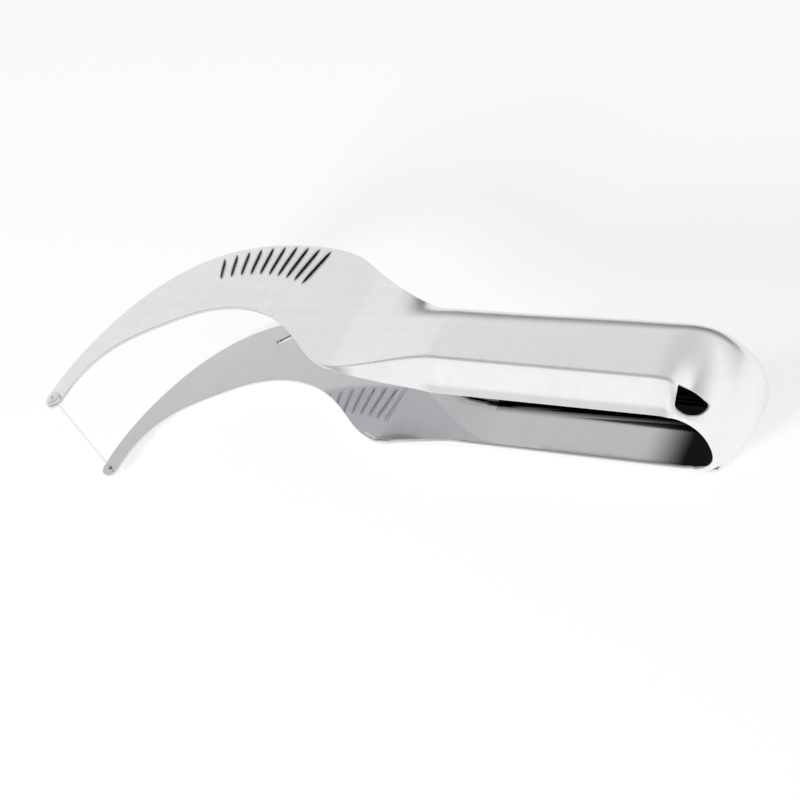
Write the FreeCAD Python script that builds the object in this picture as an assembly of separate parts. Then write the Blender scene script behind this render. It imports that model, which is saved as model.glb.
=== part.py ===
import FreeCAD, Part
import math
import os

# A pressed-steel melon slicer and server: two opposite arms joined by a springy rounded tail.
# Each arm is a grip half-shell, a pressed neck, a wide head plate and a slender hooked blade,
# and a thin wire is strung between the two blade tips. The left head has a fan of louvres,
# the right head one slanted slit.
# The tool lies on the outer face of its right arm.
# X runs along the tool towards the tail, Y from the blade tips to the top of the heads,
# Z up from the surface. The origin is on the surface, under the middle of the whole tool.
# All sizes are millimetres and degrees.

# Sheet and cross-section of the grip
SHEET = 1.0                 # thickness of the steel
GRIP_WIDTH = 45.0           # outside, from arm to arm
WALL_HEIGHT = 14.1          # upright side, from the crease to the start of the top bend
TOP_BEND = 9.0              # outside radius between the side and the top flange
TOP_FLANGE = 4.0            # flat part of the top flange
CREASE_RADIUS = 1.6         # outside radius of the sharp crease under the side
FOLD_ANGLE = 62.5           # turn of the lower flange from the side
LOWER_FLANGE = 11.6         # from the crease to the free edge
LIP_WIDTH = 3.1             # narrow strip along the free edge that turns back a little
LIP_ANGLE = 8.0

# Lengths along the tool, from the tail to the blade tips
GRIP_LENGTH = 73.3          # straight part, from the tail's curve to the neck
NECK_LENGTH = 41.2
HEAD_LENGTH = 53.0
BLADE_REACH = 41.6

# Heights, measured from the crease of the grip
HEAD_RISE = 42.3            # top of the head
NECK_TOP = 37.1             # upper edge at the front of the neck
NECK_FOOT = 2.95            # lower edge at the front of the neck, below the crease
TIP_DROP = 31.2             # lowest point of the tips, below the crease
TIP_RADIUS = 2.9

# Outline of the blade, then of the head. Each point is a share of the length of the blade or head,
# and a share of the height from the lowest point of the tip to the top of the head.
BLADE_BACK = ((0.13, 0.410), (0.61, 0.819), (1.0, 0.947))
BLADE_HOLLOW = ((0.32, 0.344), (0.66, 0.498), (1.0, 0.599))
HEAD_TOP = ((0.47, 1.0), (0.76, 0.987))
HEAD_UNDER = ((0.26, 0.633), (0.60, 0.574), (0.80, 0.479))
TOP_FALL = 0.58             # slope of the upper edge where the neck starts
FOOT_FALL = 0.42            # slope of the lower edge there

# Pressing of the neck
HEAD_INSET = 3.4            # the head plate lies this far inside the grip's side
NECK_DIP = 32.0             # length over which the upper edge falls to the grip's top
CREASE_DIP = 5.0            # lowest part of the crease, below the grip's crease
CREASE_HOLD = 0.15          # share of the neck over which the crease sinks to it
FOLD_RUN = 0.17             # share of the neck over which the lower flange folds in
FOOT_FLANGE = 0.7           # width of the lower flange at the front of the neck
FLANGE_START = 0.1          # share of the neck before the flange starts to grow
FLANGE_EASE = 1.2           # how its growth slackens towards the grip
BEND_HOLD = 0.44            # share of the neck that is still flat on top

# Pressed grip louvres on the top of the left head
LOUVRE_COUNT = 10
LOUVRE_PITCH = 3.66
LOUVRE_START = 0.4          # first louvre, forward of the head
LOUVRE_RADIUS = 1.4         # height and width of the raised side
LOUVRE_SKIN = 0.6           # drawn steel over the louvre
LOUVRE_FAN = 17.5           # tilt of the first and last louvre
LOUVRE_DEPTH = 16.0         # low end of the outermost louvres, below the top of the head
LOUVRE_ARCH = 2.9           # the middle louvres stand this much higher
LOUVRE_SHORT = 8.8
LOUVRE_LONG = 15.2

# Pressed slit on the right head, measured at its upper end
SLIT_BACK = 6.6             # behind the front of the head
SLIT_DEPTH = 6.9            # below the top of the head
SLIT_LENGTH = 8.8
SLIT_TILT = 231.0           # turn from upright: it falls forwards and opens upwards

# Tail
SEAM_ANGLE = 21.0           # where each arm takes over from the tail, round the curve
ROUND_ANGLE = 60.0          # where the crease has faded into the full round
ROUND_FOLD = 80.0           # turn of the full round from the side
TAIL_RIM = 0.9              # straight edge left along the lower opening
SEAM_GAP = 0.3              # running gap at the flexing line
FLEX_RANGE = 4.0            # squeeze of each arm
FLEX_SPARE = 1.2            # extra wedge beyond the squeeze
RELIEF_END = 48.0           # far end of the relief cut-out
RELIEF_HEEL = 36.5          # where the far end's round meets the strip
RELIEF_STRIP = 2.1          # steel left between the cut-out and the opening
RELIEF_WALL = 0.6           # from the outside of the tail to the cut-out
RELIEF_NOSE = 0.75          # far corner, as a share of the cut-out's width from the strip
RELIEF_CHIN = 0.3           # fullest part of the far end's round, the same way

# Wire between the tips
WIRE_DIAMETER = 0.6
WIRE_HOLE = 1.5
STUD_DIAMETER = 5.0
STUD_HEIGHT = 1.0
STUD_CHAMFER = 0.35

# Worked out from the sizes above
MIDDLE = GRIP_WIDTH / 2.0
OVERALL_LENGTH = MIDDLE + GRIP_LENGTH + NECK_LENGTH + HEAD_LENGTH + BLADE_REACH
TAIL_CENTRE = OVERALL_LENGTH / 2.0 - MIDDLE
NECK_BACK = TAIL_CENTRE - GRIP_LENGTH
NECK_FRONT = NECK_BACK - NECK_LENGTH
SHOULDER_X = NECK_FRONT - HEAD_LENGTH
TIP_X = SHOULDER_X - BLADE_REACH
CREASE_Y = (TIP_DROP - HEAD_RISE) / 2.0
ROOF_HEIGHT = WALL_HEIGHT + TOP_BEND
FOLD = math.radians(FOLD_ANGLE)
LIP_FOLD = math.radians(FOLD_ANGLE - LIP_ANGLE)
LIP_RUN = LOWER_FLANGE - LIP_WIDTH      # from the crease to the strip
RIM_DEPTH = LIP_RUN * math.sin(FOLD) + LIP_WIDTH * math.sin(LIP_FOLD)
RIM_DROP = LIP_RUN * math.cos(FOLD) + LIP_WIDTH * math.cos(LIP_FOLD)
RIM_FOLD = math.degrees(math.atan2(RIM_DEPTH, RIM_DROP))    # turn of the flange and strip together

# How the surfaces are drawn
FLAT = 0.2                  # smallest turn used where a bend fades out
NECK_STATIONS = 8           # sections along the neck
TAIL_STATIONS = 25          # sections round the tail
BEND_CHORDS = 7             # straight steps round each bend of the tail's sections
STATION_CROWD = 1.3         # draws the neck's sections together at its front
PULL = 20.0                 # how firmly the outlines follow their end slopes
FAR = 2.0 * OVERALL_LENGTH  # reach of cutting blocks
EIGHTH = math.sqrt(0.5)     # half way round a quarter circle

V = FreeCAD.Vector
UP = V(0, 1, 0)


def smooth(value, start, end):
    """Blend from 0 at start to 1 at end, level at both."""
    u = min(max((value - start) / (end - start), 0.0), 1.0)
    return u * u * (3.0 - 2.0 * u)


def mix(a, b, share):
    return a + (b - a) * share


def at(x, depth, height):
    """A point of the right arm: depth is measured inwards from the grip's outer face."""
    return V(x, CREASE_Y + height, depth)


def line(a, b):
    return Part.LineSegment(a, b).toShape()


def arc(a, b, c):
    return Part.Arc(a, b, c).toShape()


def extrude(edges, vector):
    return Part.Face(Part.Wire(edges)).extrude(vector)


def mirrored(shape):
    return shape.mirror(V(0, 0, MIDDLE), V(0, 0, 1))


def section(x, inset, crease, fold, fold_radius, flange, bend, bend_radius, roof):
    """Edges of one thin cross-section: lower flange, fold, side, top bend and an optional roof."""
    half = math.radians(fold) / 2.0
    turn = math.radians(bend)
    reach = fold_radius * math.tan(half)
    down = (math.sin(2 * half), -math.cos(2 * half))
    inward = (math.cos(2 * half), math.sin(2 * half))
    fold_c = (inset + fold_radius, crease + reach)
    bend_c = (inset + bend_radius, WALL_HEIGHT)
    along = (math.sin(turn), math.cos(turn))
    under = (math.cos(turn), -math.sin(turn))

    def side(skin):
        """The same run of edges at a depth of skin under the outer face."""
        rf = fold_radius - skin
        rb = bend_radius - skin
        free = at(x, inset + flange * down[0] + skin * inward[0], crease + flange * down[1] + skin * inward[1])
        fold_end = at(x, fold_c[0] - rf * inward[0], fold_c[1] - rf * inward[1])
        fold_mid = at(x, fold_c[0] - rf * math.cos(half), fold_c[1] - rf * math.sin(half))
        fold_top = at(x, fold_c[0] - rf, fold_c[1])
        bend_low = at(x, bend_c[0] - rb, bend_c[1])
        bend_mid = at(x, bend_c[0] - rb * math.cos(turn / 2), bend_c[1] + rb * math.sin(turn / 2))
        bend_end = at(x, bend_c[0] - rb * under[0], bend_c[1] - rb * under[1])
        edges = [line(free, fold_end), arc(fold_end, fold_mid, fold_top), line(fold_top, bend_low)]
        edges.append(arc(bend_low, bend_mid, bend_end))
        last = bend_end
        if roof > 0:
            last = at(x, bend_c[0] - rb * under[0] + roof * along[0], bend_c[1] - rb * under[1] + roof * along[1])
            edges.append(line(bend_end, last))
        return free, last, edges

    outer_free, outer_last, outer = side(0.0)
    inner_free, inner_last, inner = side(SHEET)
    return outer + [line(outer_last, inner_last)] + inner[::-1] + [line(inner_free, outer_free)]


def grip_section(x):
    return section(x, 0.0, 0.0, FOLD_ANGLE, CREASE_RADIUS, LIP_RUN, 90.0, TOP_BEND, TOP_FLANGE)


def lip_edges(x):
    """The narrow strip along the free edge of the lower flange, turned back by the lip angle."""
    start = (LIP_RUN * math.sin(FOLD), -LIP_RUN * math.cos(FOLD))
    a = at(x, start[0], start[1])
    b = at(x, RIM_DEPTH, -RIM_DROP)
    c = at(x, RIM_DEPTH + SHEET * math.cos(LIP_FOLD), -RIM_DROP + SHEET * math.sin(LIP_FOLD))
    d = at(x, start[0] + SHEET * math.cos(FOLD), start[1] + SHEET * math.sin(FOLD))
    return [line(a, b), line(b, c), line(c, d), line(d, a)]


def ease_out(x, start, end, slope, length):
    """Height along the neck of an edge that leaves the head with a slope, then levels out."""
    u = min((x - NECK_FRONT) / length, 1.0)
    return end + ((start - end) * (1.0 + 2.0 * u) - slope * length * u) * (1.0 - u) ** 2


def past(share, start):
    """Share of the rest of the neck behind a start."""
    return max(share - start, 0.0) / (1.0 - start)


def neck_section(share):
    """One station of the neck, from the flat head plate to the channel of the grip."""
    x = mix(NECK_FRONT, NECK_BACK, share)
    settle = mix(past(share, CREASE_HOLD), smooth(share, CREASE_HOLD, 1.0), 0.5)
    inset = mix(HEAD_INSET, 0.0, settle)
    folded = smooth(share, 0.0, FOLD_RUN)
    low = ease_out(x, -NECK_FOOT, -CREASE_DIP, FOOT_FALL, CREASE_HOLD * NECK_LENGTH)
    crease = mix(low + FOOT_FLANGE * (1.0 - folded), 0.0, settle)
    fold = mix(FLAT, mix(FOLD_ANGLE, RIM_FOLD, share), folded)
    flange = mix(FOOT_FLANGE, LOWER_FLANGE, 1.0 - (1.0 - past(share, FLANGE_START)) ** FLANGE_EASE)
    bend = mix(FLAT, 90.0, smooth(share, BEND_HOLD, 1.0))
    edge = ease_out(x, NECK_TOP, ROOF_HEIGHT, TOP_FALL, NECK_DIP)
    bend_radius = (edge - WALL_HEIGHT) / math.sin(math.radians(bend))
    return section(x, inset, crease, fold, CREASE_RADIUS, flange, bend, bend_radius, 0.0)


def neck():
    wires = []
    for i in range(NECK_STATIONS):
        share = (i / (NECK_STATIONS - 1.0)) ** STATION_CROWD
        wires.append(Part.Wire(neck_section(share)))
    return Part.makeLoft(wires, True, False)


def curve(points, start, end):
    """Smooth curve through the points with the given slopes at its ends."""
    spline = Part.BSplineCurve()
    spline.interpolate(Points=points, InitialTangent=start * PULL, FinalTangent=end * PULL)
    return spline.toShape()


def tip_centre():
    return V(TIP_X + TIP_RADIUS, CREASE_Y - TIP_DROP + TIP_RADIUS, 0)


def outline(start_x, length, shares):
    """Points of the head or blade from their shares of its length and of the whole height."""
    return [at(start_x + length * s[0], HEAD_INSET, mix(-TIP_DROP, HEAD_RISE, s[1])) for s in shares]


def head_plate():
    """Head and blade in one flat piece, cut to the hooked outline."""
    centre = tip_centre() + V(0, 0, HEAD_INSET)
    back = centre + V(-TIP_RADIUS, 0, 0)
    bottom = centre + V(0, -TIP_RADIUS, 0)
    front = centre + V(TIP_RADIUS, 0, 0)
    round_back = centre + V(-TIP_RADIUS * EIGHTH, -TIP_RADIUS * EIGHTH, 0)
    round_front = centre + V(TIP_RADIUS * EIGHTH, -TIP_RADIUS * EIGHTH, 0)
    top_end = at(NECK_FRONT, HEAD_INSET, NECK_TOP)
    foot = at(NECK_FRONT, HEAD_INSET, -NECK_FOOT)
    outer = [back] + outline(TIP_X, BLADE_REACH, BLADE_BACK)
    outer += outline(SHOULDER_X, HEAD_LENGTH, HEAD_TOP) + [top_end]
    inner = [front] + outline(TIP_X, BLADE_REACH, BLADE_HOLLOW)
    inner += outline(SHOULDER_X, HEAD_LENGTH, HEAD_UNDER) + [foot]
    edges = [
        arc(back, round_back, bottom),
        arc(bottom, round_front, front),
        curve(inner, UP, V(1, -FOOT_FALL, 0)),
        line(foot, top_end),
        curve(outer, UP, V(1, -TOP_FALL, 0)),
    ]
    return Part.Face(Part.Wire(Part.__sortEdges__(edges))).extrude(V(0, 0, SHEET))


def grip():
    straight = extrude(grip_section(NECK_BACK), V(GRIP_LENGTH, 0, 0))
    lip = extrude(lip_edges(NECK_BACK), V(GRIP_LENGTH, 0, 0))
    return straight.fuse(lip)


def turned(edges, angle):
    """Sweep a section of the grip's end round the tail's upright axis."""
    face = Part.Face(Part.Wire(edges))
    return face.revolve(V(TAIL_CENTRE, 0, MIDDLE), UP, -angle)


def flex_line():
    """Where the right arm's flexing line stands, in the middle of the sheet."""
    angle = math.radians(SEAM_ANGLE)
    radius = MIDDLE - SHEET / 2.0
    return V(TAIL_CENTRE + radius * math.sin(angle), 0, MIDDLE - radius * math.cos(angle))


def seam_block():
    """Everything beyond the right arm's end: a wedge that leaves room for the squeeze."""
    hinge = flex_line()
    block = Part.makeBox(FAR, 2 * FAR, 2 * FAR, V(hinge.x - SEAM_GAP, -FAR, hinge.z - FAR))
    block.rotate(hinge, UP, -SEAM_ANGLE)
    wedge = Part.makeBox(FAR, 2 * FAR, FAR, V(hinge.x - SEAM_GAP, -FAR, hinge.z))
    wedge.rotate(hinge, UP, -(SEAM_ANGLE + FLEX_RANGE + FLEX_SPARE))
    return block.fuse(wedge)


def slit():
    """Upper end, length and tilt of the right head's slit."""
    return at(SHOULDER_X + SLIT_BACK, HEAD_INSET, HEAD_RISE - SLIT_DEPTH), SLIT_LENGTH, SLIT_TILT


def louvre(i):
    """Low end, length and tilt of one louvre in the plane of the head."""
    share = i / (LOUVRE_COUNT - 1.0)
    tilt = mix(-LOUVRE_FAN, LOUVRE_FAN, share)
    length = mix(LOUVRE_SHORT, LOUVRE_LONG, share)
    arch = 1.0 - (2.0 * share - 1.0) ** 2
    foot = at(SHOULDER_X - LOUVRE_START + LOUVRE_PITCH * i, HEAD_INSET, HEAD_RISE - LOUVRE_DEPTH + LOUVRE_ARCH * arch)
    return foot, length, tilt


def blister(radius, length, deep):
    """Quarter of a bar with slanted ends, standing along Y and bulging forwards and outwards.
    A deep one is also carried inwards, to cut the mouth through the sheet."""
    bar = Part.makeCylinder(radius, length, V(0, 0, 0), UP)
    corners = [V(0, 0, 0), V(0, length, 0), V(0, length - radius, -radius), V(0, radius, -radius), V(0, 0, 0)]
    solid = bar.common(Part.Face(Part.makePolygon(corners)).extrude(V(-radius, 0, 0)))
    if deep > 0:
        solid = solid.fuse(Part.makeBox(radius, length, deep, V(-radius, 0, 0)))
    return solid


def set_louvre(mark, skin, deep):
    """A louvre's outer form, or with a skin its hollow, in its place on the head."""
    foot, length, tilt = mark
    shape = blister(LOUVRE_RADIUS - skin, length - 2.0 * skin, deep)
    shape.translate(foot + V(0, skin, 0))
    shape.rotate(foot, V(0, 0, 1), -tilt)
    return shape


def pressed(plate, marks):
    """Raise louvres outwards from the plate and open them behind."""
    plate = plate.fuse([set_louvre(mark, 0.0, 0.0) for mark in marks])
    return plate.cut([set_louvre(mark, LOUVRE_SKIN, SHEET) for mark in marks])


def arm(marks):
    """An arm on the right side, with its pressed marks."""
    plate = pressed(head_plate(), marks)
    hole = Part.makeCylinder(WIRE_HOLE / 2.0, FAR, tip_centre(), V(0, 0, 1))
    turn = turned(grip_section(TAIL_CENTRE), SEAM_ANGLE)
    turn_lip = turned(lip_edges(TAIL_CENTRE), SEAM_ANGLE)
    whole = plate.cut(hole).fuse([neck(), grip(), turn, turn_lip])
    return whole.cut(seam_block()).removeSplitter()


def chorded(edges):
    """The same edges with each arc drawn as short straight chords."""
    straight = []
    for edge in edges:
        points = edge.discretize(BEND_CHORDS + 1) if isinstance(edge.Curve, Part.Circle) else edge.discretize(2)
        straight += [line(a, b) for a, b in zip(points, points[1:])]
    return straight


def tail_corners(angle):
    """Corners of one station of the tail: the crease fades into a round, and the opening's rim
    stays level."""
    share = smooth(min(angle, 180.0 - angle), SEAM_ANGLE, ROUND_ANGLE)
    fold = mix(RIM_FOLD, ROUND_FOLD, share)
    turn = math.radians(fold)
    flange = RIM_DEPTH / math.sin(turn)
    crease = flange * math.cos(turn) - RIM_DROP
    full = (flange - TAIL_RIM) / math.tan(turn / 2.0)
    radius = mix(CREASE_RADIUS, full, share)
    edges = section(TAIL_CENTRE, 0.0, crease, fold, radius, flange, 90.0, TOP_BEND, TOP_FLANGE)
    wire = Part.Wire(Part.__sortEdges__(chorded(edges)))
    wire.rotate(V(TAIL_CENTRE, 0, MIDDLE), UP, -angle)
    return [vertex.Point for vertex in wire.OrderedVertexes]


def panels(near, far):
    """Flat triangles that close the surface between two stations."""
    faces = []
    for a, b, c, d in zip(near, near[1:] + near[:1], far[1:] + far[:1], far):
        faces.append(Part.Face(Part.makePolygon([a, b, c, a])))
        faces.append(Part.Face(Part.makePolygon([a, c, d, a])))
    return faces


def tail_point(radius, angle):
    a = math.radians(angle)
    return V(TAIL_CENTRE + radius * math.sin(a), -FAR, MIDDLE - radius * math.cos(a))


def relief():
    """Cut-out between the end of the lower flange and the round of the tail."""
    outer = MIDDLE - RELIEF_WALL
    inner = MIDDLE - RIM_DEPTH + RELIEF_STRIP
    start = SEAM_ANGLE - FLEX_RANGE - FLEX_SPARE
    middle = mix(SEAM_ANGLE, RELIEF_END, 0.5)
    corner = tail_point(outer, start)
    shoulder = tail_point(outer, middle)
    nose = tail_point(mix(inner, outer, RELIEF_NOSE), RELIEF_END)
    chin = tail_point(mix(inner, outer, RELIEF_CHIN), mix(RELIEF_END, RELIEF_HEEL, RELIEF_CHIN))
    heel = tail_point(inner, RELIEF_HEEL)
    foot = tail_point(inner, start)
    edges = [
        arc(corner, tail_point(outer, SEAM_ANGLE), shoulder),
        line(shoulder, nose),
        arc(nose, chin, heel),
        arc(heel, tail_point(inner, SEAM_ANGLE), foot),
        line(foot, corner),
    ]
    return extrude(edges, V(0, FAR + CREASE_Y + WALL_HEIGHT / 2.0, 0))


def tail():
    sweep = 180.0 - 2.0 * SEAM_ANGLE
    rings = [tail_corners(SEAM_ANGLE + sweep * i / (TAIL_STATIONS - 1.0)) for i in range(TAIL_STATIONS)]
    faces = [Part.Face(Part.makePolygon(ring + ring[:1])) for ring in (rings[0], rings[-1])]
    for near, far in zip(rings, rings[1:]):
        faces += panels(near, far)
    bow = Part.makeSolid(Part.makeShell(faces))
    cut = relief()
    return bow.cut([cut, mirrored(cut)]).removeSplitter()


def stud():
    """Round head that ties the wire down on the outside of the right tip."""
    face_z = HEAD_INSET - STUD_HEIGHT
    body = Part.makeCylinder(STUD_DIAMETER / 2.0, STUD_HEIGHT, tip_centre() + V(0, 0, face_z), V(0, 0, 1))
    rim = [e for e in body.Edges if e.Closed and e.BoundBox.ZMax < face_z + STUD_HEIGHT / 2.0]
    return body.makeChamfer(STUD_CHAMFER, rim)


def wire():
    foot = tip_centre() + V(0, 0, HEAD_INSET)
    return Part.makeCylinder(WIRE_DIAMETER / 2.0, GRIP_WIDTH - 2.0 * HEAD_INSET, foot, V(0, 0, 1))


def build():
    near_stud = stud()
    return {
        "right_arm": arm([slit()]),
        "left_arm": mirrored(arm([louvre(i) for i in range(LOUVRE_COUNT)])),
        "tail_spring": tail(),
        "cutting_wire": wire(),
        "right_wire_stud": near_stud,
        "left_wire_stud": mirrored(near_stud),
    }


os.makedirs("parts", exist_ok=True)
for name, shape in build().items():
    shape.exportStep("parts/" + name + ".step")
    box = shape.BoundBox
    print(name, "solids", len(shape.Solids), "valid", shape.isValid(), "volume", round(shape.Volume, 1),
          "box", [round(v, 2) for v in (box.XMin, box.YMin, box.ZMin, box.XMax, box.YMax, box.ZMax)])
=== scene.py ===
"""A sprung melon slicer and server of pressed steel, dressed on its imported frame.

The sheet is drawn again as two continuous halves that meet in the middle of the round tail.
Each half runs from the rounded tail along the grip and the neck to the flat head with its
louvres and the hooked blade. A thin wire is strung between the tips and tied down by a small
head on the outside of each. Sizes are in millimetres and degrees until a mesh is made.
"""
import logging
import math
from dataclasses import dataclass, field
from enum import Enum
from typing import Sequence

import bpy
from mathutils import Matrix, Vector
from mathutils.geometry import delaunay_2d_cdt


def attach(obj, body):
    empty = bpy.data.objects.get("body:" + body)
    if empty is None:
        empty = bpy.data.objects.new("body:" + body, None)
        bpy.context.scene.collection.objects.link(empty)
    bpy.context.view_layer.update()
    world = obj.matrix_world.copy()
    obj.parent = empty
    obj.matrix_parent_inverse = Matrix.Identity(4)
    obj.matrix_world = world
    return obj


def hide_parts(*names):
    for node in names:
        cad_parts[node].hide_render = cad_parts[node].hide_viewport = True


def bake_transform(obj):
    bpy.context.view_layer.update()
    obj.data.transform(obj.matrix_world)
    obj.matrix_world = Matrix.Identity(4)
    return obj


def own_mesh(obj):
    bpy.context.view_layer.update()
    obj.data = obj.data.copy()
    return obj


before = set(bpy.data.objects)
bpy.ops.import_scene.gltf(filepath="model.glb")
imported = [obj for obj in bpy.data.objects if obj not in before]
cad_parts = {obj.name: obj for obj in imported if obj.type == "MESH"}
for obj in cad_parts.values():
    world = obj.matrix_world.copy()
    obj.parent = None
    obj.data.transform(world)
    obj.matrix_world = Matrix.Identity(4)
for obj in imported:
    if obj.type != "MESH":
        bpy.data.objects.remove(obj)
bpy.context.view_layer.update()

LOG = logging.getLogger("slicer")
MM = 0.001
GIRTH = (0.0, 0.12, 0.42, 0.49, 1.0)
Pair = tuple[float, float]


class Half(Enum):
    """The two mirror-image halves of the sheet, by the body of each side."""

    RIGHT = "right_side"
    LEFT = "left_side"


class Zone(Enum):
    """Faces of the sheet by finish, in the order of the material slots."""

    OUTSIDE = 0
    INSIDE = 1
    EDGE = 2
    # hollow of the left head's louvres, painted nearly black as shade
    MOUTH_SHADE = 3


def mix(low: float, high: float, share: float) -> float:
    """Value a share of the way from low to high."""
    return low + (high - low) * share


def smooth(value: float, start: float, end: float) -> float:
    """Blend from 0 at start to 1 at end, level at both."""
    u = min(max((value - start) / (end - start), 0.0), 1.0)
    return u * u * (3.0 - 2.0 * u)


def girth(row: float) -> float:
    """Share of the way from a section's free edge to the top of its side, at a row up to 4."""
    part = min(int(row), 3)
    return mix(GIRTH[part], GIRTH[part + 1], row - part)


def row_at(share: float) -> float:
    """Row at a share of the way from a section's free edge to the top of its side."""
    part = max(k for k in range(4) if GIRTH[k] <= max(share, 0.0))
    return part + (share - GIRTH[part]) / (GIRTH[part + 1] - GIRTH[part])


def inside(point: Pair, loop: Sequence[Pair]) -> bool:
    """Tell whether a flat point lies within a closed loop.

    Args:
        point: The point.
        loop: Corners of the loop in order.

    Returns:
        True where the point is within the loop.
    """
    x, y = point
    hit = False
    for (x0, y0), (x1, y1) in zip(loop, list(loop[1:]) + [loop[0]]):
        if (y0 > y) != (y1 > y) and x < (x1 - x0) * (y - y0) / (y1 - y0) + x0:
            hit = not hit
    return hit


def near(point: Pair, loop: Sequence[Pair], gap: float) -> bool:
    """Tell whether a flat point lies closer than a gap to any corner of a loop."""
    return any((point[0] - x) ** 2 + (point[1] - y) ** 2 < gap * gap for x, y in loop)


def triangles(flat: Sequence[Vector], ties: Sequence[tuple[int, int]], edge: Sequence[Pair] | None,
              holes: Sequence[Sequence[Pair]]) -> tuple[list[Vector], list[tuple[int, ...]]]:
    """Divide a flat sheet into triangles that all turn the same way.

    Args:
        flat: Points of its edge, its holes and its middle.
        ties: Pairs of points that stay joined.
        edge: The sheet's edge, where the triangles may reach past it.
        holes: The holes to leave open.

    Returns:
        The points, and the triangles with their corners anticlockwise.
    """
    points, _, faces, _, _, _ = delaunay_2d_cdt(flat, ties, [], 0, 1e-6)
    kept = []
    for face in faces:
        a, b, c = (points[i] for i in face[:3])
        centre = tuple((a + b + c) / 3.0)
        if (edge is None or inside(centre, edge)) and not any(inside(centre, hole) for hole in holes):
            turn = (b - a).cross(c - a)
            kept.append(tuple(face) if turn > 0.0 else tuple(reversed(face)))
    return list(points), kept


def eased_curve(points: Sequence[Pair], start: Pair, end: Pair, step: float) -> list[Pair]:
    """Draw one smooth curve through points with a given direction at each end.

    Args:
        points: Points on the curve in order.
        start: Direction of the curve at its first point.
        end: Direction of the curve at its last point.
        step: Distance between the points returned.

    Returns:
        Points along the curve, both ends included.
    """
    count = len(points)
    runs = [math.dist(points[i], points[i + 1]) for i in range(count - 1)]
    slopes = []
    for axis in range(2):
        size = [math.hypot(*start), math.hypot(*end)]
        diag, upper, right = [1.0], [0.0], [start[axis] / size[0]]
        for i in range(1, count - 1):
            a, b = runs[i - 1], runs[i]
            value = 3.0 * (a * (points[i + 1][axis] - points[i][axis]) / b
                           + b * (points[i][axis] - points[i - 1][axis]) / a)
            scale = b / diag[-1]
            diag.append(2.0 * (a + b) - scale * upper[-1])
            right.append(value - scale * right[-1])
            upper.append(a)
        column = [end[axis] / size[1]]
        for i in range(count - 2, 0, -1):
            column.insert(0, (right[i] - upper[i] * column[0]) / diag[i])
        slopes.append([start[axis] / size[0]] + column)
    drawn = []
    for i, run in enumerate(runs):
        pieces = max(1, round(run / step))
        for k in range(pieces):
            t = k / pieces
            h = (2 * t**3 - 3 * t**2 + 1, t**3 - 2 * t**2 + t, 3 * t**2 - 2 * t**3, t**3 - t**2)
            drawn.append(tuple(h[0] * points[i][a] + h[1] * run * slopes[a][i]
                               + h[2] * points[i + 1][a] + h[3] * run * slopes[a][i + 1] for a in range(2)))
    return drawn + [tuple(points[-1])]


def closed_curve(points: Sequence[Pair], pieces: int) -> list[Pair]:
    """Draw a smooth closed loop through points.

    Args:
        points: Points on the loop in order.
        pieces: Steps between two of them.

    Returns:
        Points along the loop, the first one not repeated.
    """
    count, drawn = len(points), []
    for i in range(count):
        p = [points[(i + k - 1) % count] for k in range(4)]
        for k in range(pieces):
            t = k / pieces
            drawn.append(tuple(0.5 * (2 * p[1][a] + (p[2][a] - p[0][a]) * t
                                      + (2 * p[0][a] - 5 * p[1][a] + 4 * p[2][a] - p[3][a]) * t * t
                                      + (3 * p[1][a] - p[0][a] - 3 * p[2][a] + p[3][a]) * t**3)
                               for a in range(2)))
    return drawn


@dataclass(frozen=True)
class SlicerSizes:
    """Sizes that the halves of the sheet, the wire and the studs share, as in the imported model."""

    sheet: float = 1.0
    grip_width: float = 45.0
    wall_height: float = 14.1
    top_bend: float = 9.0
    top_flange: float = 4.0
    crease_radius: float = 1.2
    fold_angle: float = 62.5
    lower_flange: float = 11.6
    lip_width: float = 3.1
    lip_angle: float = -8.0
    grip_length: float = 73.3
    neck_length: float = 41.2
    head_length: float = 53.0
    blade_reach: float = 41.6
    head_rise: float = 42.3
    neck_top: float = 37.1
    neck_foot: float = 2.95
    tip_drop: float = 31.2
    tip_radius: float = 2.9
    head_inset: float = 3.4

    @property
    def middle(self) -> float:
        """Height of the plane that the two halves mirror about."""
        return self.grip_width / 2.0

    @property
    def tail_centre(self) -> float:
        """Where the tail's upright axis stands along the tool."""
        length = self.middle + self.grip_length + self.neck_length + self.head_length + self.blade_reach
        return length / 2.0 - self.middle

    @property
    def neck_back(self) -> float:
        """Where the neck meets the grip."""
        return self.tail_centre - self.grip_length

    @property
    def neck_front(self) -> float:
        """Where the neck meets the head."""
        return self.neck_back - self.neck_length

    @property
    def shoulder(self) -> float:
        """Where the head meets the blade."""
        return self.neck_front - self.head_length

    @property
    def tip(self) -> float:
        """Foremost reach of the tips."""
        return self.shoulder - self.blade_reach

    @property
    def crease(self) -> float:
        """Where the grip's crease lies across the tool."""
        return (self.tip_drop - self.head_rise) / 2.0

    @property
    def rim(self) -> Pair:
        """Free edge of the lower flange: how deep inwards and how far below the crease."""
        fold, lip = math.radians(self.fold_angle), math.radians(self.fold_angle + self.lip_angle)
        run = self.lower_flange - self.lip_width
        return (run * math.sin(fold) + self.lip_width * math.sin(lip),
                run * math.cos(fold) + self.lip_width * math.cos(lip))

    @property
    def tip_centre(self) -> Pair:
        """Centre of the rounded tip, along and across the tool."""
        return self.tip + self.tip_radius, self.crease - self.tip_drop + self.tip_radius


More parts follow.
